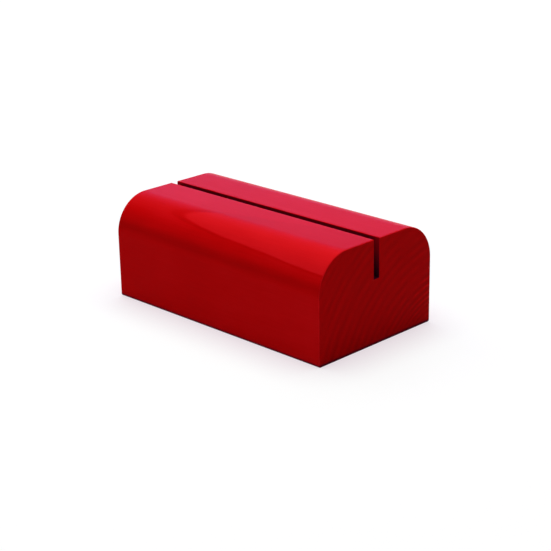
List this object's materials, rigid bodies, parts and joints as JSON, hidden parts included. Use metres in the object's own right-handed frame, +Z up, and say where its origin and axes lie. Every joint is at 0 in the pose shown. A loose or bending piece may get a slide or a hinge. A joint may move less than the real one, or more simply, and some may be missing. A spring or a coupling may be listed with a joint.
{
  "type": "slotted sign stand",
  "caption": "Solid wooden block with rounded shoulders and a full-length saw slot in its top that holds a card, menu or small sign upright on a table.",
  "frame": {"origin": "middle of the underside, on the table", "axes": "+X along the slot, +Y across the block to its back, +Z up out of the slot"},
  "size_m": [0.107, 0.06, 0.04],
  "materials": {
    "red_lacquered_wood": "hardwood stained red under a satin clear lacquer, grain showing faintly"
  },
  "bodies": {
    "root": {"slotted_block": "red_lacquered_wood"}
  },
  "joints": []
}
